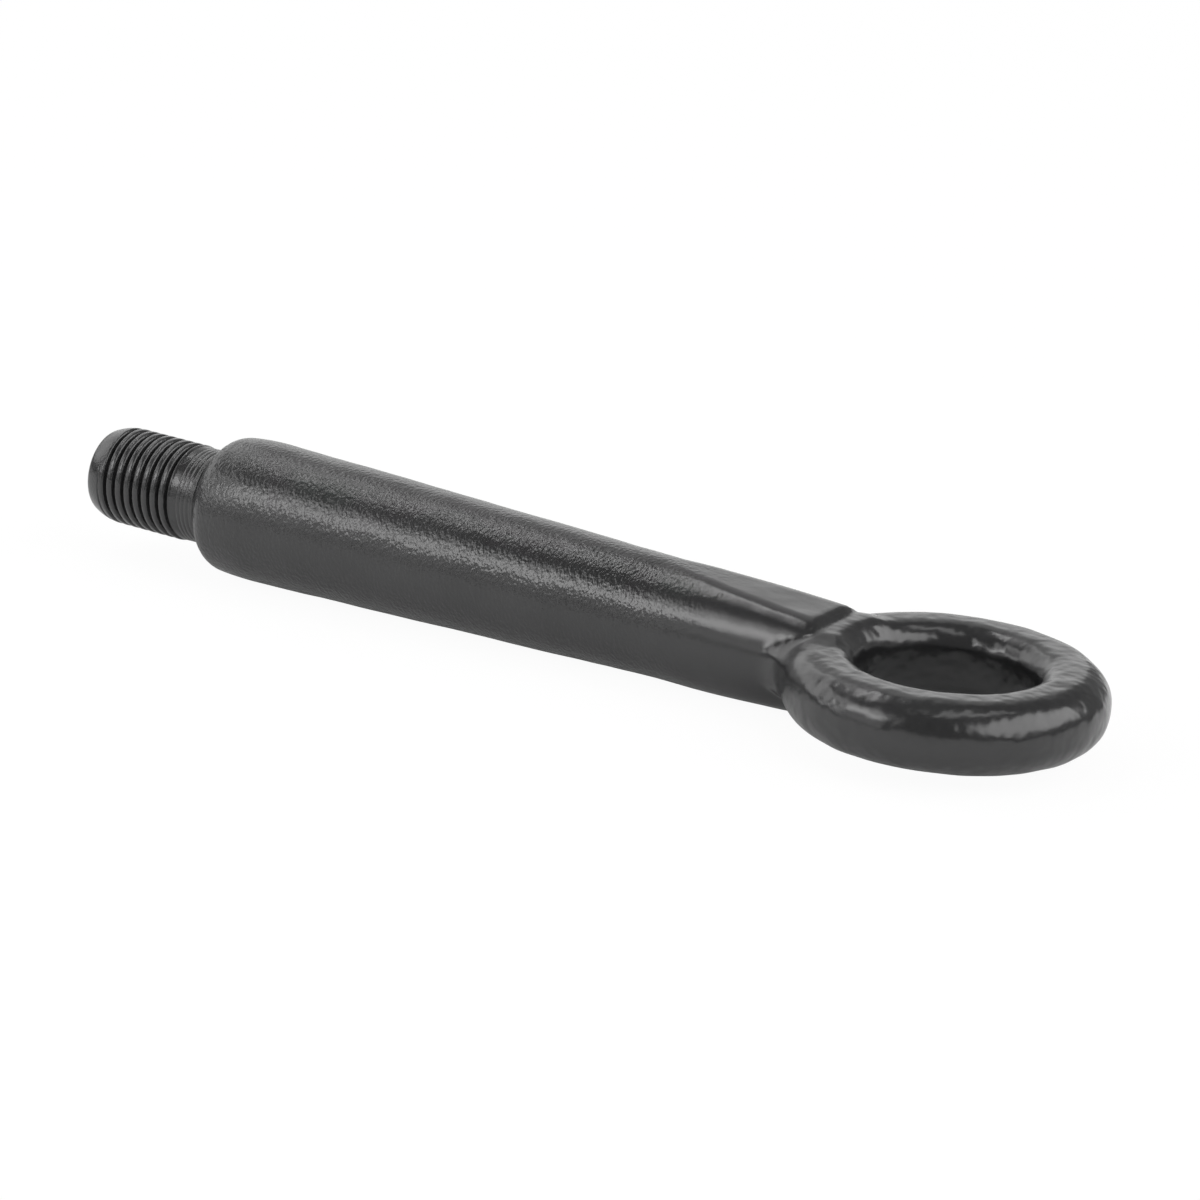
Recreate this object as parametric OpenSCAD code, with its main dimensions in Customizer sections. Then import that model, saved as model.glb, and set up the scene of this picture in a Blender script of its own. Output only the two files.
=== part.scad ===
// Screw-in tow eye: one steel forging with a threaded stub, a tapered round shank and a closed eye.
// The origin lies on the thread's axis, at the foot of the shoulder.
// +X runs along the shank to the eye, and +Z is the axis of the eye's hole.

/* [Threaded stub] */
// Outside diameter of the thread
thread_d = 18; // [17.6:0.1:20]
// Pitch of the thread, which sets how far its tip is turned down
thread_pitch = 2; // [1:0.25:2.5]
// Length of the stub, from its tip to the foot of the shoulder
stub_len = 25; // [20:0.5:40]
// Length of the rounded tip that leads the thread in
lead_in_len = 5; // [2:0.1:6]
// Diameter of the plain neck between the thread and the shoulder
neck_d = 17.5; // [15.5:0.1:17.8]
// Length of the plain neck
neck_len = 5.5; // [2:0.5:10]

/* [Shoulder and shank] */
// Diameter of the shank where it is widest
shank_d = 25.7; // [24:0.1:32]
// Taper of the shank towards the eye, in degrees to the axis
shank_taper = 1.6; // [0.5:0.1:2.1]
// Angle between the shoulder's face and the axis
shoulder_angle = 53; // [35:1:70]
// Radius of the turn at the top of the shoulder's face
shoulder_r = 4.5; // [1:0.25:6]
// Radius of the gentle crown that leads from that turn to the taper
crown_r = 65; // [30:5:120]
// Slope at which the crown starts, in degrees
crown_angle = 6; // [3:1:10]

/* [Eye] */
// Distance from the foot of the shoulder to the centre of the eye
eye_x = 149.5; // [135:0.5:185]
// Diameter of the hole
hole_d = 30; // [24:0.2:36]
// Width of the ring, from the hole to its outside
ring_w = 12.5; // [11:0.1:18]
// Height of the ring, along the hole's axis
ring_h = 12.6; // [12:0.1:14]
// Radius of the ring's edges at the hole
hole_edge_r = 4.4; // [2:0.1:5]
// Radius of the ring's outside edges
rim_edge_r = 5.9; // [3:0.1:6]

/* [Neck of the eye] */
// Width of the neck where it meets the ring
neck_w = 21.5; // [20:0.1:25]
// Length of the two flats that slope down to the ring
flat_len = 30.5; // [20:0.5:45]
// Distance from the hole's wall to the end of the flats
flat_gap = 8; // [7:0.1:12]
// Height of the step from the ring up to the end of each flat
flat_step = 2.2; // [0.4:0.1:2.6]
// Slope of that step, in degrees
step_slope = 60; // [40:1:80]
// Radius of the lip at the top of the step
step_lip_r = 1.2; // [0.4:0.1:2]
// Radius of the hollow at the foot of the step
step_foot_r = 1.5; // [0.4:0.1:2]
// Radius of the fillets between the shank's sides and the ring
neck_fillet_r = 5; // [3:0.5:10]

/* [Hidden] */
$fn = 96;
arc_steps = 8;

// Depth of the thread below its outside
thread_depth = 0.6134 * thread_pitch;
thread_r = thread_d / 2;
stub_neck_r = neck_d / 2;
shank_r = shank_d / 2;
eye_neck_r = neck_w / 2;
hole_r = hole_d / 2;
ring_r = hole_r + ring_w;
half_ring_h = ring_h / 2;

// The tip's rounding touches the thread's outside, and starts as deep as the thread
lead_in_r = (lead_in_len * lead_in_len + thread_depth * thread_depth) / (2 * thread_depth);
lead_in_angle = asin(lead_in_len / lead_in_r);

// The shoulder is a straight face, a tight turn and a wide crown that runs into the taper
crown_start_r = shank_r - crown_r * (1 - cos(crown_angle));
turn_start_r = crown_start_r - shoulder_r * (cos(crown_angle) - cos(shoulder_angle));
turn_start_x = (turn_start_r - stub_neck_r) / tan(shoulder_angle);
turn_x = turn_start_x + shoulder_r * sin(shoulder_angle);
crown_x = turn_x - shoulder_r * sin(crown_angle) + crown_r * sin(crown_angle);
taper_start_x = crown_x + crown_r * sin(shank_taper);
taper_start_r = shank_r - crown_r * (1 - cos(shank_taper));

// The flats run from the waist, where the taper ends, to the step down to the ring
flat_end_x = eye_x - hole_r - flat_gap;
waist_x = flat_end_x - flat_len;
waist_r = taper_start_r - (waist_x - taper_start_x) * tan(shank_taper);
flat_end_h = half_ring_h + flat_step;
flat_fall = (waist_r - flat_end_h) / flat_len;

// The step turns over a lip, falls straight and turns out again just below the ring's face
face_sink = 0.3;
buried_h = half_ring_h - face_sink;
step_drop = flat_end_h - buried_h;
step_turns_r = step_lip_r + step_foot_r;
step_angle = min(step_slope, acos(max(0, 1 - step_drop / step_turns_r)));
step_straight = max(0, step_drop - step_turns_r * (1 - cos(step_angle)));
step_x = flat_end_x + step_turns_r * sin(step_angle) + step_straight / tan(step_angle);

// From the waist to its buried end inside the ring, the turned form gets a little wider
blank_end_x = step_x + 0.5;
neck_end_x = eye_x - sqrt(ring_r * ring_r - eye_neck_r * eye_neck_r);
neck_flare = (eye_neck_r - waist_r) / (neck_end_x - waist_x);

// The trim of the neck starts before the waist, where the flats' planes are clear of the shank
trim_run_in = 6;
trim_start_x = waist_x - trim_run_in;
trim_start_h = waist_r + trim_run_in * flat_fall;
trim_end_x = blank_end_x + 1;

// Each fillet's axis stands clear of the neck's side and of the ring by the fillet's radius
fillet_y = eye_neck_r + neck_fillet_r;
fillet_x = eye_x - sqrt(pow(ring_r + neck_fillet_r, 2) - fillet_y * fillet_y);
fillet_share = neck_fillet_r / (ring_r + neck_fillet_r);
fillet_end_x = fillet_x + (eye_x - fillet_x) * fillet_share;
fillet_end_y = fillet_y * (1 - fillet_share);

// Points of an arc about [cx, cy], from angle a to angle b
function arc(cx, cy, r, a, b) =
    [for (i = [0:arc_steps]) let (t = a + (b - a) * i / arc_steps) [cx + r * cos(t), cy + r * sin(t)]];

// Half outline of the turned form, as distance along the axis and radius
blank_outline = concat(
    [[-stub_len, 0]],
    arc(lead_in_len - stub_len, thread_r - lead_in_r, lead_in_r, 90 + lead_in_angle, 90),
    [[-neck_len - thread_r + stub_neck_r, thread_r], [-neck_len, stub_neck_r], [0, stub_neck_r]],
    arc(turn_x, turn_start_r - shoulder_r * cos(shoulder_angle), shoulder_r, 90 + shoulder_angle, 90 + crown_angle),
    arc(crown_x, shank_r - crown_r, crown_r, 90 + crown_angle, 90 - shank_taper),
    [[waist_x, waist_r],
     [blank_end_x, waist_r + (blank_end_x - waist_x) * neck_flare],
     [blank_end_x, 0]]);

// The threaded stub, the shoulder and the tapered shank, as one turned form
module turned_blank() {
    rotate([0, 90, 0])
        rotate_extrude()
            polygon([for (p = blank_outline) [p[1], p[0]]]);
}

// Upper half of the neck's outline seen from the side: the flat, its lip and the step
neck_outline = concat(
    [[trim_start_x, 0], [trim_start_x, trim_start_h]],
    arc(flat_end_x, flat_end_h - step_lip_r, step_lip_r, 90 - atan(flat_fall), 90 - step_angle),
    arc(step_x, buried_h + step_foot_r, step_foot_r, 270 - step_angle, 270),
    [[trim_end_x, buried_h], [trim_end_x, 0]]);

module neck_side() {
    polygon(neck_outline);
    mirror([0, 1]) polygon(neck_outline);
}

// What is taken off above and below the neck to leave the flats and the steps
module neck_trim() {
    rotate([90, 0, 0])
        linear_extrude(height = 2 * shank_d, center = true)
            difference() {
                translate([trim_start_x, -shank_d])
                    square([trim_end_x - trim_start_x, 2 * shank_d]);
                neck_side();
            }
}

// Section of the ring: rounded outside, tighter rounding at the hole, a straight land between
module ring_section() {
    inner_x = hole_r + hole_edge_r;
    outer_x = ring_r - rim_edge_r;
    inner_z = half_ring_h - hole_edge_r;
    outer_z = half_ring_h - rim_edge_r;
    polygon(concat(
        arc(inner_x, -inner_z, hole_edge_r, 180, 270),
        arc(outer_x, -outer_z, rim_edge_r, 270, 360),
        arc(outer_x, outer_z, rim_edge_r, 0, 90),
        arc(inner_x, inner_z, hole_edge_r, 90, 180)));
}

module ring() {
    translate([eye_x, 0, 0])
        rotate_extrude()
            ring_section();
}

// Cuts the side of the neck to a hollow in plan that is round from top to bottom
module fillet_cutter() {
    rotate_extrude()
        difference() {
            translate([0, -half_ring_h - 1])
                square([neck_fillet_r + half_ring_h, ring_h + 2]);
            translate([neck_fillet_r + half_ring_h, 0])
                circle(r = half_ring_h);
        }
}

// Metal that fills the corners between the shank's sides and the ring
module neck_fillets() {
    difference() {
        translate([fillet_x, -fillet_end_y, -buried_h])
            cube([fillet_end_x - fillet_x, 2 * fillet_end_y, 2 * buried_h]);
        for (side = [-1, 1])
            translate([fillet_x, side * fillet_y, 0])
                fillet_cutter();
    }
}

module tow_eye() {
    color("#3c3c3e")
        union() {
            difference() {
                turned_blank();
                neck_trim();
            }
            neck_fillets();
            ring();
        }
}

tow_eye();
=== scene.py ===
import math

import bmesh
import bpy
import numpy as np
from bpy.props import FloatProperty, FloatVectorProperty, PointerProperty
from mathutils import Matrix, Vector, noise


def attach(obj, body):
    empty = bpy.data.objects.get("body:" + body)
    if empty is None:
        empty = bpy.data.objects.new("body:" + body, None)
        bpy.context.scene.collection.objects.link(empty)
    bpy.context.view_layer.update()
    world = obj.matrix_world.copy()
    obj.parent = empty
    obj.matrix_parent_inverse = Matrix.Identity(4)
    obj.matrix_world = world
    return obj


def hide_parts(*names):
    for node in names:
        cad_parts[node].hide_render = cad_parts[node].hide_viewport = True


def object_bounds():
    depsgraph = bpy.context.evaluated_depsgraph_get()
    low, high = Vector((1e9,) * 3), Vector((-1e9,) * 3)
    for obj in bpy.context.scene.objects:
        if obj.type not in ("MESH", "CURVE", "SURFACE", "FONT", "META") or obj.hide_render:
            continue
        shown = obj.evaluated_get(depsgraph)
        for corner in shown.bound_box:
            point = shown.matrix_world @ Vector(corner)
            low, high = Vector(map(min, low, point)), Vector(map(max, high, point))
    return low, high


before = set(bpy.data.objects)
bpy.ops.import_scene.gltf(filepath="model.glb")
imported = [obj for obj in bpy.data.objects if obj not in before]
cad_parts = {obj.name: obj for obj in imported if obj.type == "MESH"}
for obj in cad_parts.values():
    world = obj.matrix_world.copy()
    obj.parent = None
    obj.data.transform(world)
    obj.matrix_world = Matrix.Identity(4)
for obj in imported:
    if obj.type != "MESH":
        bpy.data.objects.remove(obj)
cad_low, cad_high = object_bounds()

bl_info = {
    "name": "Screw-in tow eye",
    "version": (1, 0, 0),
    "blender": (4, 5, 0),
    "location": "View3D > Sidebar > Tow eye",
    "description": "Builds a forged screw-in tow eye with its black coating, and a pale stage for it",
    "category": "Object",
}

MM = 0.001
PLAIN_NECK_R = 8.75 * MM
THREAD_DEPTH_SHARE = 0.6134
MERGE = 5e-6

# Small knocks in the coating: place (x, y, z), reach and depth, all in millimetres
KNOCKS = (
    (129.6, -5.6, 6.4, 0.9, 0.2),
    (130.6, -6.2, 6.3, 0.8, 0.2),
    (131.4, -7.0, 6.3, 0.7, 0.16),
    (138.4, -22.9, 4.1, 2.2, 0.16),
    (140.4, -24.4, 3.6, 1.6, 0.12),
    (122.9, -9.6, 4.9, 1.4, 0.06),
    (124.6, -9.3, 5.4, 1.0, 0.05),
    (150.2, 15.9, 4.2, 1.6, 0.14),
    (146.2, 15.0, 4.3, 1.3, 0.12),
    (133.6, 4.9, 5.0, 1.5, 0.12),
    (163.8, -23.2, 3.6, 1.4, 0.1),
)

# Soft lamps: bearing from the front, height angle, width and height in degrees, brightness, metres away
LAMPS = {
    "key_box": (-30, 29, 36, 13, 5.4, 0.7),
    "key_upper": (-34, 40, 40, 12, 2.0, 0.7),
    "key_low": (-54, 13, 10, 12, 3.6, 0.7),
    "key_side": (-80, 26, 28, 30, 1.9, 1.6),
    "low_card": (-30, 9, 34, 12, 1.1, 1.6),
    "overhead_strip": (-104, 61, 28, 5, 7.5, 1.6),
    "back_left_panel": (-112, 30, 30, 36, 1.2, 1.6),
    "back_low_panel": (-148, 14, 40, 24, 0.9, 1.6),
    "back_high_panel": (-144, 42, 36, 28, 0.45, 1.6),
    "side_box": (100, 37, 78, 36, 3.0, 1.6),
    "top_box": (80, 78, 40, 10, 2.2, 1.6),
}


def length(name, text, millimetres):
    return FloatProperty(name=name, description=text, default=millimetres * MM, unit="LENGTH", precision=5)


def angle(name, text, degrees):
    return FloatProperty(name=name, description=text, default=math.radians(degrees), unit="ROTATION")


def colour(name, text, value):
    return FloatVectorProperty(
        name=name, description=text, default=value, size=3, min=0, max=1, subtype="COLOR")


class StubSizes(bpy.types.PropertyGroup):
    """Sizes of the threaded stub and the plain neck behind it"""

    thread_d: length("Thread diameter", "Outside diameter of the thread", 18)
    pitch: length("Pitch", "Pitch of the right-hand thread", 2)
    root_x: length("Root position", "Place of one thread root on the near side, from the shoulder", -20.2)
    stub_len: length("Stub length", "From the tip to the foot of the shoulder", 25)
    lead_in_len: length("Lead-in", "Length of the rounded tip that leads the thread in", 5)
    neck_d: length("Neck diameter", "Diameter of the plain neck", 17.5)
    neck_len: length("Neck length", "Length of the plain neck", 5.5)


class ForgingSizes(bpy.types.PropertyGroup):
    """Sizes of the shoulder, the shank, the neck and the ring"""

    shank_d: length("Shank diameter", "Diameter of the shank where it is widest", 25.7)
    shank_taper: angle("Shank taper", "Slope of the shank towards the eye", 1.6)
    shoulder_angle: angle("Shoulder angle", "Angle between the shoulder's face and the axis", 53)
    shoulder_r: length("Shoulder turn", "Radius of the turn at the top of the shoulder's face", 4.5)
    crown_r: length("Crown radius", "Radius of the gentle crown behind the shoulder", 65)
    crown_angle: angle("Crown angle", "Slope at which the crown starts", 6)
    eye_x: length("Eye position", "From the shoulder's foot to the centre of the eye", 149.5)
    hole_d: length("Hole diameter", "Diameter of the hole", 30)
    ring_w: length("Ring width", "Width of the ring from the hole to its outside", 12.5)
    ring_h: length("Ring height", "Height of the ring along the hole's axis", 12.6)
    hole_edge_r: length("Hole edge", "Radius of the ring's edges at the hole", 4.4)
    lower_edge_r: length("Lower hole edge", "Radius of the hole's lower edge, where the punch came out", 2.6)
    rim_edge_r: length("Rim edge", "Radius of the ring's outside edges", 5.9)
    neck_w: length("Neck width", "Width of the neck where it meets the ring", 21.5)
    waist_x: length("Waist position", "Where the flats start, from the shoulder's foot", 96)
    flat_end_x: length("Flat end", "Where the flats end, from the shoulder's foot", 126.5)
    flat_end_h: length("Flat end height", "Height of the flats' ends above the middle", 8.5)
    flat_edge_r: length("Flat edge", "Radius of the rounding along the flats' edges", 5.5)
    step_slope: angle("Step slope", "Slope of the step down to the ring", 62)
    step_lip: length("Step lip", "Softness of the lip at the top of the step", 0.9)
    crease_x: length("Crease position", "Where the step ends in a crease, from the shoulder's foot", 127.9)
    crease_h: length("Crease height", "Height of the crease above the middle", 7.3)
    crease_r: length("Crease radius", "Radius of the crease", 0.3)
    sill_len: length("Sill", "Length of the raised sill between the crease and the hole", 8.2)
    sill_end: length("Sill end", "Length over which the sill runs out to the ring's face", 5.6)
    neck_fillet_r: length("Neck fillet", "Radius of the fillets between the neck's sides and the ring", 5)
    waviness: length("Waviness", "Depth of the shallow unevenness that the dies leave", 0.1)


class CoatingLook(bpy.types.PropertyGroup):
    """Colours and grain of the black coating"""

    dark: colour("Dark", "Darker tone of the coating", (0.0055, 0.0055, 0.0058))
    light: colour("Light", "Lighter tone of the coating", (0.016, 0.016, 0.0165))
    gloss: FloatProperty(
        name="Roughness", description="Mean roughness of the coating", default=0.23, min=0, max=1)
    grain: length("Grain", "Size of the pebbled grain", 0.75)
    grain_depth: length("Grain depth", "Height of the pebbled grain", 0.14)


class StageLook(bpy.types.PropertyGroup):
    """The pale floor, the lamps and the camera"""

    floor: colour("Floor", "Colour of the floor", (0.93, 0.93, 0.93))
    dim: colour("Surroundings", "Colour of the dim room around the lamps", (0.3, 0.3, 0.3))
    power: FloatProperty(name="Lamps", description="Factor on the brightness of every lamp", default=1, min=0)
    distance: length("Camera distance", "From the camera to the middle of the tow eye", 727.107)
    yaw: angle("Camera yaw", "Turn of the camera about the vertical", 30.744)
    pitch: angle("Camera pitch", "Height angle of the camera", 18.151)
    roll: angle("Camera roll", "Roll of the camera", 4.355)
    target_x: length("Camera target", "Place on the axis that the camera looks at", 81.911)
    lens: FloatProperty(
        name="Lens", description="Focal length on a 36 mm sensor", default=125.85, unit="CAMERA")


class TowEyeSettings(bpy.types.PropertyGroup):
    """Everything that a user may change before the pieces are built"""

    stub: PointerProperty(type=StubSizes)
    forging: PointerProperty(type=ForgingSizes)
    coating: PointerProperty(type=CoatingLook)
    stage: PointerProperty(type=StageLook)


def calculated(tree, operation, a, b, clamp=False):
    """One step of arithmetic on two sockets or numbers"""
    n = tree.nodes.new("ShaderNodeMath")
    n.operation = operation
    n.use_clamp = clamp
    feed(tree, n.inputs[0], a)
    feed(tree, n.inputs[1], b)
    return Link(tree, n.outputs[0])


class Link:
    """A socket's output that adds, subtracts, multiplies and divides with other sockets or numbers"""

    def __init__(self, tree, socket):
        self.tree = tree
        self.socket = socket

    def maths(self, operation, other, clamp=False):
        return calculated(self.tree, operation, self, other, clamp)

    def __add__(self, other):
        return self.maths("ADD", other)

    def __radd__(self, other):
        return calculated(self.tree, "ADD", other, self)

    def __sub__(self, other):
        return self.maths("SUBTRACT", other)

    def __rsub__(self, other):
        return calculated(self.tree, "SUBTRACT", other, self)

    def __mul__(self, other):
        return self.maths("MULTIPLY", other)

    def __rmul__(self, other):
        return calculated(self.tree, "MULTIPLY", other, self)

    def __truediv__(self, other):
        return self.maths("DIVIDE", other)

    def __rtruediv__(self, other):
        return calculated(self.tree, "DIVIDE", other, self)

    def ramp(self, low, high):
        """0 below low, 1 above high, with a soft start and end"""
        n = self.tree.nodes.new("ShaderNodeMapRange")
        n.interpolation_type = "SMOOTHSTEP"
        feed(self.tree, n.inputs["Value"], self)
        n.inputs["From Min"].default_value = low
        n.inputs["From Max"].default_value = high
        return Link(self.tree, n.outputs["Result"])


def feed(tree, socket, value):
    if isinstance(value, Link):
        tree.links.new(value.socket, socket)
    else:
        socket.default_value = value


class Finish:
    """A material's node tree, with one method that adds a node"""

    def __init__(self, name):
        self.material = bpy.data.materials.new(name)
        self.material.use_nodes = True
        self.tree = self.material.node_tree
        self.tree.nodes.clear()
        self.output = self.tree.nodes.new("ShaderNodeOutputMaterial")

    def node(self, kind, settings=None, out=0, **inputs):
        """Adds a node; an input is given by its name, or as i0, i1 and so on by its place"""
        n = self.tree.nodes.new(kind)
        for key, value in (settings or {}).items():
            setattr(n, key, value)
        for key, value in inputs.items():
            numbered = key[0] == "i" and key[1:].isdigit()
            feed(self.tree, n.inputs[int(key[1:]) if numbered else key.replace("_", " ")], value)
        return Link(self.tree, n.outputs[out])

    def mix(self, factor, a, b):
        """Mix of two colours"""
        return self.node("ShaderNodeMix", {"data_type": "RGBA"}, out=2, i0=factor, i6=a, i7=b)

    def surface(self, shader):
        self.tree.links.new(shader.socket, self.output.inputs["Surface"])


def coating(look, name, fineness=1.0, forged=1.0, scars=()):
    """Black baked coating over a shot-blasted forging: grainy shank, smoother eye, small knocks"""
    f = Finish(name)
    place = f.node("ShaderNodeTexCoord", out=3)
    along = f.node("ShaderNodeMapping", Vector=place, Rotation=(0.0, 0.35, 0.3), Scale=(1.35, 0.9, 0.9))
    grain_scale = 1.0 / look.grain * fineness
    strokes = f.node("ShaderNodeTexNoise", Vector=along, Scale=grain_scale, Detail=1.5, Roughness=0.5)
    pebbles = f.node("ShaderNodeTexNoise", Vector=place, Scale=grain_scale, Detail=2.0, Roughness=0.5)
    waves = f.node("ShaderNodeTexNoise", Vector=place, Scale=330.0, Detail=1.2, Roughness=0.5)
    dust = f.node("ShaderNodeTexNoise", Vector=place, Scale=4200.0, Detail=2.0, Roughness=0.6)
    patches = f.node("ShaderNodeTexNoise", Vector=place, Scale=60.0, Detail=3.0, Roughness=0.55)
    lengthwise = f.node("ShaderNodeSeparateXYZ", i0=place)
    on_neck = lengthwise.ramp(88 * MM, 118 * MM)
    on_eye = lengthwise.ramp(122 * MM, 134 * MM)
    grain = (strokes - 0.5) * (1.0 - on_neck) + (pebbles - 0.5) * (on_neck * 0.03)
    tone = ((patches - 0.5) * 1.2 + (pebbles - 0.5) * 0.8).maths("ADD", 0.5, clamp=True)
    base = f.mix(tone, (*look.dark, 1.0), (*look.light, 1.0))
    rough = look.gloss + (patches - 0.5) * 0.1 + (dust - 0.5) * 0.08
    rolling = (waves - 0.5) * (on_eye * (0.22 * MM) + 0.04 * MM)
    height = (grain * look.grain_depth + rolling) * forged + (dust - 0.5) * (0.002 * MM)
    for where, reach, deep in scars:
        away = f.node("ShaderNodeVectorMath", {"operation": "DISTANCE"}, out="Value", i0=place, i1=where)
        height = height - (1.0 - away.ramp(0.0, reach)) * deep
    bump = f.node("ShaderNodeBump", Strength=1.0, Distance=1.0, Height=height)
    f.surface(f.node(
        "ShaderNodeBsdfPrincipled", Base_Color=base, Roughness=rough, Normal=bump, Specular_IOR_Level=0.62))
    return f.material


def own(name, bm, material):
    """Makes the finished bmesh an object that rides on the tow eye"""
    mesh = bpy.data.meshes.new(name)
    bm.to_mesh(mesh)
    bm.free()
    mesh.polygons.foreach_set("use_smooth", [True] * len(mesh.polygons))
    mesh.materials.append(material)
    piece = bpy.data.objects.new(name, mesh)
    bpy.context.scene.collection.objects.link(piece)
    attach(piece, "root")
    return piece


def clamp(value, low, high):
    return max(low, min(high, value))


def places(verts):
    return np.array([v.co for v in verts], float).reshape(-1, 3)


def settle(verts, depth, rounds=4):
    """Moves vertices along the shape's slope until they lie on its surface"""
    p = places(verts)
    reach = 2e-5
    least_slope = 0.05
    for _ in range(rounds):
        d = depth(p)
        slope = np.stack([(depth(p + e) - depth(p - e)) / (2 * reach) for e in np.eye(3) * reach], 1)
        p -= slope * (d / np.maximum((slope ** 2).sum(1), least_slope))[:, None]
    for v, co in zip(verts, p):
        v.co = co


def turned_radius(s, x):
    """Radius of the shoulder, crown, tapered shank and flaring neck at a place along the axis"""
    top = s.shank_d / 2
    tiny = 1e-12
    crown_r0 = top - s.crown_r * (1 - math.cos(s.crown_angle))
    turn_r0 = crown_r0 - s.shoulder_r * (math.cos(s.crown_angle) - math.cos(s.shoulder_angle))
    turn_x0 = (turn_r0 - PLAIN_NECK_R) / math.tan(s.shoulder_angle)
    turn_x = turn_x0 + s.shoulder_r * math.sin(s.shoulder_angle)
    crown_x0 = turn_x - s.shoulder_r * math.sin(s.crown_angle)
    crown_x = crown_x0 + s.crown_r * math.sin(s.crown_angle)
    taper_x = crown_x + s.crown_r * math.sin(s.shank_taper)
    taper_r = top - s.crown_r * (1 - math.cos(s.shank_taper))
    waist_r = taper_r - (s.waist_x - taper_x) * math.tan(s.shank_taper)
    ring_r = s.hole_d / 2 + s.ring_w
    neck_end = s.eye_x - math.sqrt(ring_r ** 2 - s.neck_w ** 2 / 4)
    flare = (s.neck_w / 2 - waist_r) / (neck_end - s.waist_x)
    face = PLAIN_NECK_R + x * math.tan(s.shoulder_angle)
    turn = turn_r0 - s.shoulder_r * math.cos(s.shoulder_angle) + np.sqrt(
        np.maximum(s.shoulder_r ** 2 - (x - turn_x) ** 2, tiny))
    crown = top - s.crown_r + np.sqrt(np.maximum(s.crown_r ** 2 - (x - crown_x) ** 2, tiny))
    taper = taper_r - (x - taper_x) * math.tan(s.shank_taper)
    neck = waist_r + (x - s.waist_x) * flare
    ends = [x < turn_x0, x < crown_x0, x < taper_x, x < s.waist_x]
    return np.select(ends, [face, turn, crown, taper], neck)


def eased(share):
    """0 below 0, 1 above 1, with a soft start and end"""
    t = np.clip(share, 0, 1)
    return t * t * (3 - 2 * t)


def forging_depth(s):
    """The forging's shape as a signed distance: below 0 inside the metal, above 0 outside"""
    waist_r = float(turned_radius(s, np.array([s.waist_x]))[0])
    fall = (waist_r - s.flat_end_h) / (s.flat_end_x - s.waist_x)
    half_h = s.ring_h / 2
    nose = (math.sin(s.step_slope), math.cos(s.step_slope))
    behind_crease = 1.8 * MM
    sill_side, sill_side_end = 11 * MM, 5 * MM
    fill_low, fill_fade = 2.5 * MM, 4 * MM
    crease_side, crease_side_slope = 9.5 * MM, 0.3

    def depth(p):
        x, y, z = p[:, 0], np.abs(p[:, 1]), np.abs(p[:, 2])
        r = turned_radius(s, x)
        h = waist_r - (x - s.waist_x) * fall
        flat = h < r
        edge = np.minimum(s.flat_edge_r, h - 1e-4)
        corner_z = h - edge
        corner_y = np.sqrt(np.maximum((r - edge) ** 2 - corner_z ** 2, 0))
        around = np.hypot(y, z) - r
        rounded = np.hypot(y - corner_y, z - corner_z) - edge
        neck = np.where(y <= corner_y, z - h, np.where(corner_y * z - corner_z * y > 0, rounded, around))
        shank = np.where(flat & (z > corner_z * 0.2), neck, around)
        step = (x - s.crease_x) * nose[0] + (z - s.crease_h) * nose[1]
        lip = s.step_lip
        shank = np.minimum(np.maximum(shank, step), -lip) + np.hypot(
            np.maximum(shank + lip, 0), np.maximum(step + lip, 0))
        shank = np.maximum(shank, x - s.crease_x - behind_crease)
        out = np.hypot(x - s.eye_x, y) - (s.hole_d + s.ring_w) / 2
        turn = np.where(out < 0, np.where(p[:, 2] > 0, s.hole_edge_r, s.lower_edge_r), s.rim_edge_r)
        side = np.abs(out) - s.ring_w / 2 + turn
        sill = eased((s.crease_x + s.sill_len - x) / s.sill_end) * eased((sill_side - y) / sill_side_end)
        level = z - half_h - (s.crease_h - half_h) * sill + turn
        ring = np.minimum(np.maximum(side, level), 0) + np.hypot(
            np.maximum(side, 0), np.maximum(level, 0)) - turn
        fill = s.neck_fillet_r + (s.crease_r - s.neck_fillet_r) * eased((z - fill_low) / fill_fade)
        both = np.maximum(fill, np.minimum(shank, ring)) - np.hypot(
            np.maximum(fill - shank, 0), np.maximum(fill - ring, 0))
        crease = s.crease_r - np.hypot(x - s.crease_x, z - s.crease_h)
        return np.maximum(both, np.minimum(crease, (crease_side - y) * crease_side_slope))

    return depth


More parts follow.
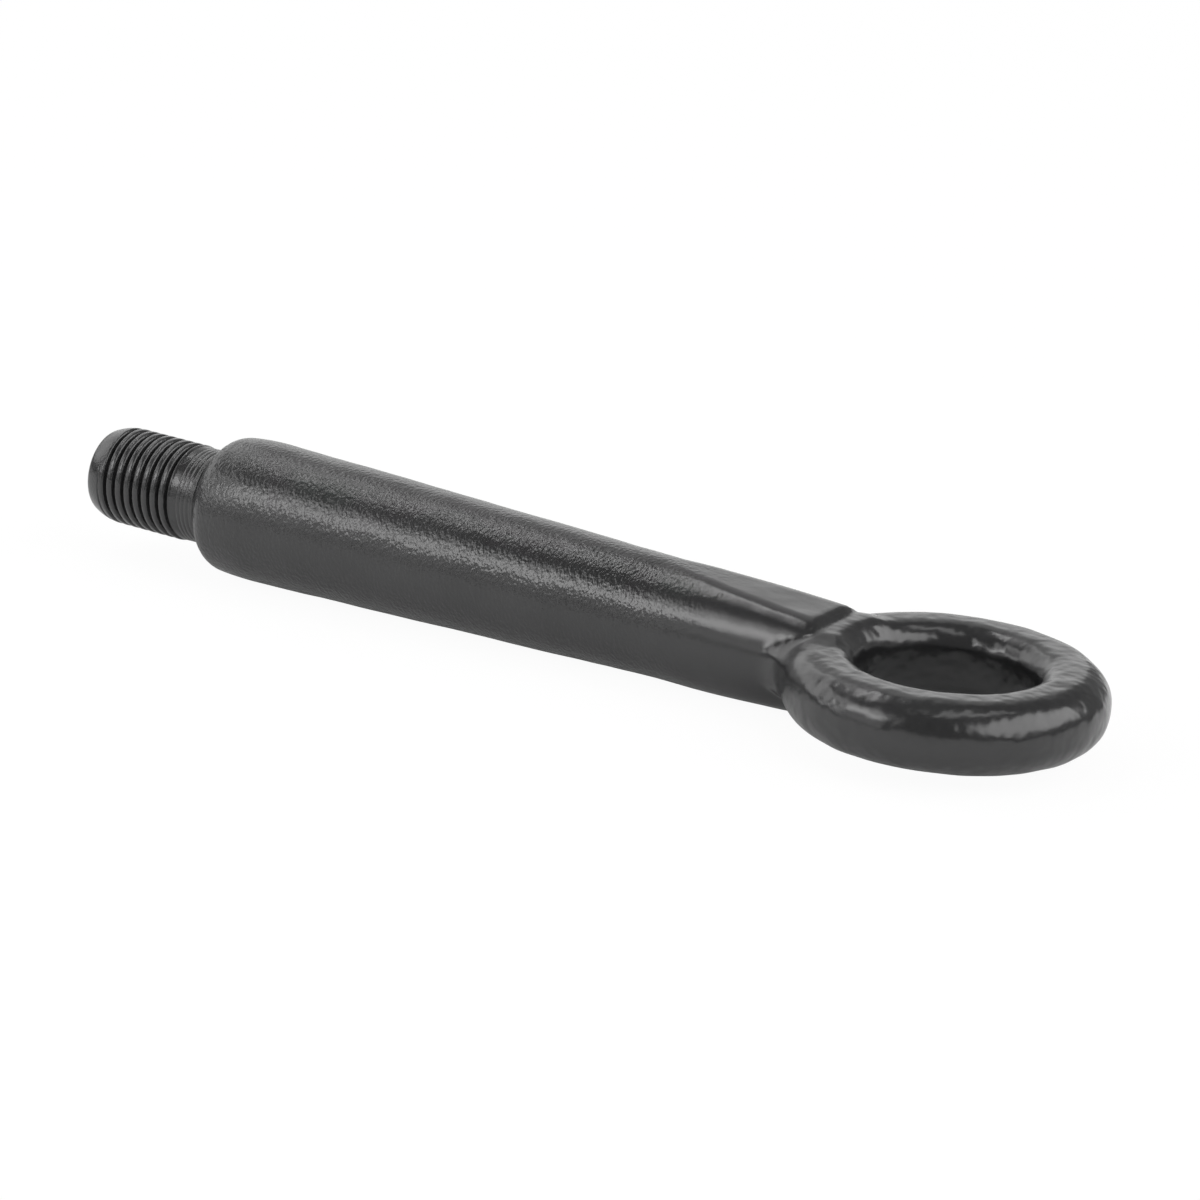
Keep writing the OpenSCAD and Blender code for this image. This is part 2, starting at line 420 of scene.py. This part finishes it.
def ring_shell(bm, s, steps):
    """The closed ring, spun from its section, and left open where the neck joins it"""
    half_opening = math.radians(31)
    half_h = s.ring_h / 2
    inner = (s.hole_d / 2 + s.hole_edge_r, half_h - s.hole_edge_r)
    outer = (s.hole_d / 2 + s.ring_w - s.rim_edge_r, half_h - s.rim_edge_r)
    outline = [(inner[0], half_h)]
    for i in range(9):
        a = math.radians(90 - 22.5 * i)
        z = 0 if i == 4 else math.copysign(outer[1], math.sin(a)) + s.rim_edge_r * math.sin(a)
        outline.append((outer[0] + s.rim_edge_r * math.cos(a), z))
    outline.append((inner[0], -half_h))
    for i in range(1, 4):
        a = math.radians(270 - 30 * i)
        outline.append((inner[0] + s.hole_edge_r * math.cos(a), -inner[1] + s.hole_edge_r * math.sin(a)))
    outline.append((s.hole_d / 2, 0))
    for i in range(3, 0, -1):
        a = math.radians(90 + 30 * i)
        outline.append((inner[0] + s.hole_edge_r * math.cos(a), inner[1] + s.hole_edge_r * math.sin(a)))
    verts = [bm.verts.new((s.eye_x + r, 0, z)) for r, z in outline]
    edges = [bm.edges.new((a, b)) for a, b in zip(verts, verts[1:] + verts[:1])]
    bmesh.ops.spin(bm, geom=verts + edges, cent=(s.eye_x, 0, 0), axis=(0, 0, 1), angle=math.tau, steps=steps,
                   use_merge=True)
    bmesh.ops.remove_doubles(bm, verts=bm.verts, dist=1e-6)
    at_neck = []
    for face in bm.faces:
        c = face.calc_center_median()
        faces_neck = c.x < s.eye_x - abs(c.y) / math.tan(half_opening)
        if faces_neck and math.hypot(c.x - s.eye_x, c.y) > inner[0]:
            at_neck.append(face)
    bmesh.ops.delete(bm, geom=at_neck, context="FACES")


def shank_shell(bm, s, count):
    """The open tube from the shoulder's foot to just before the ring, loop after loop at stations in mm"""
    stations = [-0.41, 0.55, 1.49, 2.3, 3.3, 4.61, 6.5, 9, 12, 16]
    stations += list(np.linspace(21, 96, 16)) + [100, 104, 107.5, 110.5, 113.5, 116]
    turned = Matrix.Rotation(math.pi / 2, 4, "Y")
    radius = float(turned_radius(s, np.array([stations[0] * MM]))[0])
    start = bmesh.ops.create_circle(bm, cap_ends=False, segments=count, radius=radius,
                                    matrix=Matrix.Translation((stations[0] * MM, 0, 0)) @ turned)
    loop = list({e for v in start["verts"] for e in v.link_edges})
    for before, here in zip(stations, stations[1:]):
        grown = bmesh.ops.extrude_edge_only(bm, edges=loop)["geom"]
        verts = [g for g in grown if isinstance(g, bmesh.types.BMVert)]
        loop = [g for g in grown if isinstance(g, bmesh.types.BMEdge)]
        new_radius = float(turned_radius(s, np.array([here * MM]))[0])
        bmesh.ops.scale(bm, vec=(1, new_radius / radius, new_radius / radius), verts=verts)
        bmesh.ops.translate(bm, vec=((here - before) * MM, 0, 0), verts=verts)
        radius = new_radius
    return [e for e in loop if all(abs(v.co.x - stations[-1] * MM) < 1e-6 for v in e.verts)]


def neck_zone(bm):
    """Vertices where the neck turns into the ring"""
    return [v for v in bm.verts if 112 * MM < v.co.x < 134 * MM]


def relax(bm, verts, depth, times, factor):
    """Evens out vertices on the shape's surface"""
    for _ in range(times):
        bmesh.ops.smooth_vert(
            bm, verts=verts, factor=factor, use_axis_x=True, use_axis_y=True, use_axis_z=True)
        settle(verts, depth, rounds=2)


class TOWEYE_OT_forging(bpy.types.Operator):
    """Builds the shoulder, the shank, the neck and the ring as one forging"""

    bl_idname = "toweye.forging"
    bl_label = "Build forging"

    def execute(self, context):
        settings = context.scene.tow_eye
        s = settings.forging
        depth = forging_depth(s)
        bm = bmesh.new()
        ring_shell(bm, s, steps=48)
        open_edges = [e for e in bm.edges if e.is_boundary]
        last_loop = shank_shell(bm, s, len(open_edges))
        joined = bmesh.ops.bridge_loops(bm, edges=last_loop + open_edges)
        bmesh.ops.subdivide_edges(bm, edges=joined["edges"], cuts=4, use_grid_fill=True)
        relax(bm, neck_zone(bm), depth, times=24, factor=0.5)
        for _ in range(2):
            bmesh.ops.subdivide_edges(bm, edges=bm.edges[:], cuts=1, use_grid_fill=True)
            settle(bm.verts, depth)
            relax(bm, neck_zone(bm), depth, times=6, factor=0.4)
        bm.normal_update()
        for v in bm.verts:
            self.make_uneven(v, s.waviness)
        holes = [e for e in bm.edges if e.is_boundary]
        bmesh.ops.holes_fill(bm, edges=holes, sides=0)
        bmesh.ops.recalc_face_normals(bm, faces=bm.faces)
        knocks = [((x * MM, y * MM, z * MM), reach * MM, deep * MM) for x, y, z, reach, deep in KNOCKS]
        piece = own("forging", bm, coating(settings.coating, "black_coating", scars=knocks))
        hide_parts("tow_eye")
        return {"FINISHED"}

    def make_uneven(self, v, waviness):
        """The shallow unevenness that the dies leave, kept inside the solid's box"""
        swell = noise.noise(v.co / (9 * MM)) + 0.4 * noise.noise(v.co / (4 * MM))
        eye = clamp((v.co.x - 118 * MM) / (10 * MM), 0.0, 1.0)
        swell += eye * noise.noise(v.co / (5 * MM))
        v.co += v.normal * waviness * swell * clamp(v.co.x / MM, 0.0, 1.0)
        v.co.x = min(v.co.x, cad_high.x)
        v.co.y = clamp(v.co.y, cad_low.y, cad_high.y)
        v.co.z = clamp(v.co.z, cad_low.z, cad_high.z)


def tooth(s):
    """One pitch of the thread's section, from root to root: place along the axis and radius"""
    top = s.thread_d / 2
    shares = [(0, 0.5), (0.05, 0.48), (0.09, 0.41), (0.17, 0.2),
              (0.22, 0.09), (0.29, 0.025), (0.38, 0.006), (0.5, 0)]
    half = [(along * s.pitch, top - deep * s.pitch) for along, deep in shares]
    return half + [(s.pitch - x, r) for x, r in half[-2::-1]]


class TOWEYE_OT_stub(bpy.types.Operator):
    """Builds the threaded stub with its rounded tip and the plain neck behind it"""

    bl_idname = "toweye.stub"
    bl_label = "Build threaded stub"

    def execute(self, context):
        settings = context.scene.tow_eye
        s = settings.stub
        top = s.thread_d / 2
        neck_r = s.neck_d / 2
        depth = THREAD_DEPTH_SHARE * s.pitch
        bm = bmesh.new()
        turns = 12
        steps = 72
        start_x = s.root_x - 3 * s.pitch
        verts = [bm.verts.new((start_x + x, -r, 0)) for x, r in tooth(s)]
        edges = [bm.edges.new(pair) for pair in zip(verts, verts[1:])]
        bmesh.ops.spin(bm, geom=verts + edges, cent=(0, 0, 0), axis=(1, 0, 0), dvec=(s.pitch / steps, 0, 0),
                       angle=math.tau * turns, steps=steps * turns, use_merge=False)
        bmesh.ops.remove_doubles(bm, verts=bm.verts, dist=MERGE)
        tip_x = -s.stub_len + 1 * MM
        thread_end = -s.neck_len + 0.2 * MM
        for place, side in ((tip_x, -1), (thread_end, 1)):
            bmesh.ops.bisect_plane(bm, geom=bm.verts[:] + bm.edges[:] + bm.faces[:], dist=1e-6,
                                   plane_co=(place, 0, 0), plane_no=(side, 0, 0), clear_outer=True)
        lead_r = (s.lead_in_len ** 2 + depth ** 2) / (2 * depth)
        lead_x = s.lead_in_len - s.stub_len
        lowest = top - 1.2 * depth
        fade_x, fade_len = thread_end - 0.45 * MM, 0.4 * MM
        full_x, run_out_len = -20.9 * MM, 1.1 * MM
        for v in bm.verts:
            x = v.co.x
            r = math.hypot(v.co.y, v.co.z)
            high = top if x > lead_x else top - lead_r + math.sqrt(lead_r ** 2 - (x - lead_x) ** 2)
            fade = clamp((x - fade_x) / fade_len, 0.0, 1.0)
            high = high + (neck_r - high) * fade * fade * (3 - 2 * fade)
            start = clamp((full_x - x) / run_out_len, 0.0, 1.0)
            low = lowest + (high - lowest) * max(start, fade) ** 1.5
            new_r = clamp(r, low, high)
            v.co.y *= new_r / r
            v.co.z *= new_r / r
        self.cap(bm, tip_x, [
            (-24.0, 8.23), (-24.5, 8.02), (-24.82, 7.84), (-24.97, 7.6), (-25.0, 7.1), (-24.93, 6.3),
            (-24.84, 4.8), (-24.78, 3.2), (-24.74, 1.8), (-24.7, 1.1), (-24.4, 0.7), (-24.2, 0.3)])
        neck = [(thread_end / MM, neck_r / MM)]
        for groove in (-3.9, -3.0, -2.1, -1.1):
            neck += [(groove - 0.2, 8.75), (groove - 0.1, 8.71), (groove, 8.68),
                     (groove + 0.1, 8.71), (groove + 0.2, 8.75)]
        neck += [(-0.5, 8.72), (-0.22, 8.74), (-0.08, 8.9), (0.02, 9.24),
                 (0.12, 9.36), (0.22, 9.36), (0.36, 9.28), (0.6, 9.0)]
        self.cap(bm, thread_end, neck)
        bmesh.ops.remove_doubles(bm, verts=bm.verts, dist=MERGE)
        bmesh.ops.recalc_face_normals(bm, faces=bm.faces)
        own("threaded_stub", bm, coating(settings.coating, "black_thread", fineness=1.6, forged=0.35))
        return {"FINISHED"}

    def cap(self, bm, place, stations):
        """Grows the open end loop by loop through stations (place, radius) in millimetres, then closes it"""
        loop = [e for e in bm.edges if e.is_boundary and all(abs(v.co.x - place) < 2e-5 for v in e.verts)]
        for x, r in stations[1:]:
            grown = bmesh.ops.extrude_edge_only(bm, edges=loop)["geom"]
            loop = [g for g in grown if isinstance(g, bmesh.types.BMEdge)]
            for v in [g for g in grown if isinstance(g, bmesh.types.BMVert)]:
                share = r * MM / math.hypot(v.co.y, v.co.z)
                v.co = (x * MM, v.co.y * share, v.co.z * share)
            loop = [e for e in loop if e.is_boundary]
        bmesh.ops.holes_fill(bm, edges=loop, sides=0)


class TOWEYE_OT_stage(bpy.types.Operator):
    """Sets up the pale floor, the soft lamps and the camera"""

    bl_idname = "toweye.stage"
    bl_label = "Set up stage"

    def execute(self, context):
        look = context.scene.tow_eye.stage
        scene = context.scene
        scene.view_settings.view_transform = "Standard"
        self.floor(look)
        self.lamps(look)
        world = bpy.data.worlds.new("dim_room")
        world.use_nodes = True
        world.node_tree.nodes["Background"].inputs["Color"].default_value = (*look.dim, 1.0)
        scene.world = world
        camera = bpy.data.cameras.new("camera")
        camera.lens = look.lens
        camera.sensor_width = 36
        seat = bpy.data.objects.new("camera", camera)
        scene.collection.objects.link(seat)
        back = Vector((math.sin(look.yaw) * math.cos(look.pitch), -math.cos(look.yaw) * math.cos(look.pitch),
                       math.sin(look.pitch)))
        right = Vector((math.cos(look.yaw), math.sin(look.yaw), 0))
        up = back.cross(right)
        turned = Matrix.Rotation(look.roll, 3, back)
        seat.matrix_world = Matrix.Translation(Vector((look.target_x, 0, 0)) + back * look.distance) @ Matrix(
            (turned @ right, turned @ up, back)).transposed().to_4x4()
        scene.camera = seat
        return {"FINISHED"}

    def floor(self, look):
        """A wide pale floor that touches the underside of the shank"""
        f = Finish("floor")
        seen = f.node("ShaderNodeLightPath", out="Is Camera Ray")
        mirrored = f.node("ShaderNodeLightPath", out="Is Glossy Ray")
        mirrored = mirrored.maths("MAXIMUM", f.node("ShaderNodeLightPath", out="Is Transmission Ray"))
        white_share = (seen * 0.95).maths("MAXIMUM", mirrored * 0.1)
        matt = f.node("ShaderNodeBsdfDiffuse", Color=(*look.floor, 1.0))
        white = f.node("ShaderNodeEmission", Color=(1.0, 1.0, 1.0, 1.0), Strength=1.0)
        f.surface(f.node("ShaderNodeMixShader", i0=white_share, i1=matt, i2=white))
        bm = bmesh.new()
        taper = bpy.context.scene.tow_eye.forging.shank_taper
        touch = Vector((13.2 * MM, 0, -12.83 * MM))
        bmesh.ops.create_grid(bm, x_segments=1, y_segments=1, size=12,
                              matrix=Matrix.Translation(touch) @ Matrix.Rotation(-taper, 4, "Y"))
        mesh = bpy.data.meshes.new("floor")
        bm.to_mesh(mesh)
        bm.free()
        mesh.materials.append(f.material)
        piece = bpy.data.objects.new("floor", mesh)
        bpy.context.scene.collection.objects.link(piece)

    def lamps(self, look):
        """The soft lamps round the tow eye, all turned to its middle"""
        middle = Vector((80 * MM, 0, 0))
        for name, (bearing, height, wide, tall, brightness, away) in LAMPS.items():
            a = math.radians(bearing - 90)
            e = math.radians(height)
            towards = Vector((math.cos(a) * math.cos(e), math.sin(a) * math.cos(e), math.sin(e)))
            lamp = bpy.data.lights.new(name, "AREA")
            lamp.shape = "RECTANGLE"
            lamp.size = 2 * away * math.tan(math.radians(wide / 2))
            lamp.size_y = 2 * away * math.tan(math.radians(tall / 2))
            lamp.energy = brightness * look.power * math.pi * lamp.size * lamp.size_y
            seat = bpy.data.objects.new(name, lamp)
            bpy.context.scene.collection.objects.link(seat)
            seat.location = middle + towards * away
            seat.rotation_euler = towards.to_track_quat("Z", "Y").to_euler()
            seat.visible_camera = False


class TOWEYE_PT_panel(bpy.types.Panel):
    """Lists the tow eye's sizes and its build buttons"""

    bl_label = "Tow eye"
    bl_idname = "TOWEYE_PT_panel"
    bl_space_type = "VIEW_3D"
    bl_region_type = "UI"
    bl_category = "Tow eye"

    def draw(self, context):
        settings = context.scene.tow_eye
        for title, group, operator in (
            ("Threaded stub", settings.stub, "toweye.stub"),
            ("Forging", settings.forging, "toweye.forging"),
            ("Coating", settings.coating, None),
            ("Stage", settings.stage, "toweye.stage"),
        ):
            box = self.layout.box()
            box.label(text=title)
            for key in group.bl_rna.properties.keys():
                if key not in ("rna_type", "name"):
                    box.prop(group, key)
            if operator:
                box.operator(operator)


CLASSES = (
    StubSizes,
    ForgingSizes,
    CoatingLook,
    StageLook,
    TowEyeSettings,
    TOWEYE_OT_forging,
    TOWEYE_OT_stub,
    TOWEYE_OT_stage,
    TOWEYE_PT_panel,
)


def register():
    for each in CLASSES:
        bpy.utils.register_class(each)
    bpy.types.Scene.tow_eye = PointerProperty(type=TowEyeSettings)


def unregister():
    del bpy.types.Scene.tow_eye
    for each in reversed(CLASSES):
        bpy.utils.unregister_class(each)


def main():
    register()
    bpy.ops.toweye.stage()
    bpy.ops.toweye.forging()
    bpy.ops.toweye.stub()


if __name__ == "__main__":
    main()
